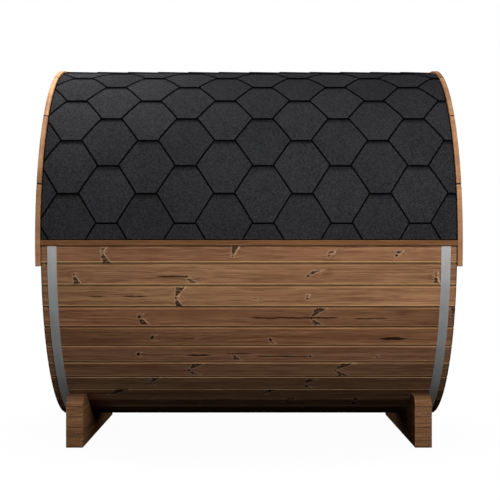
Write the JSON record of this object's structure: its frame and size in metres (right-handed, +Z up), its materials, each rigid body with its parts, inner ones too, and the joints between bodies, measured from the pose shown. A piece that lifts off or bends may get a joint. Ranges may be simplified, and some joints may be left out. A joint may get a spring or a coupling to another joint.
{
  "type": "barrel sauna",
  "caption": "Wooden barrel sauna lying on cradles, with steel bands, a shingled upper half, curved end trims and a plank door in one end.",
  "frame": {"origin": "centre of the footprint at ground level, under the barrel's middle", "axes": "+X along the barrel's axis towards the end with the door, -Y towards the side that the picture shows, +Z up"},
  "size_m": [2.1926, 2.04, 2.128],
  "materials": {
    "thermowood": "oiled heat-treated softwood",
    "planed_trim": "planed heat-treated softwood",
    "shingle": "mineral-surfaced bitumen shingle",
    "steel": "satin stainless strip"
  },
  "bodies": {
    "root": {"cradle_left": "thermowood", "cradle_right": "thermowood", "staves_back_upper": "thermowood", "staves_back_top": "thermowood", "staves_top": "thermowood", "staves_front_top": "thermowood", "staves_front_upper": "thermowood", "staves_front": "thermowood", "staves_front_lower": "thermowood", "staves_bottom": "thermowood", "staves_back_lower": "thermowood", "staves_back": "thermowood", "left_wall": "thermowood", "right_wall_front": "thermowood", "right_wall_back": "thermowood", "right_wall_over_door": "thermowood", "right_wall_under_door": "thermowood", "door_boards": "thermowood", "eave_batten_front": "planed_trim", "eave_batten_back": "planed_trim", "trim_left_front": "planed_trim", "trim_left_back": "planed_trim", "trim_right_front": "planed_trim", "trim_right_back": "planed_trim", "door_frame": "planed_trim", "door_ledges": "planed_trim", "door_handle": "planed_trim", "roof_front": "shingle", "roof_back": "shingle", "roof_ridge": "shingle", "band_left": "steel", "band_right": "steel", "door_hinges": "steel"}
  },
  "joints": []
}
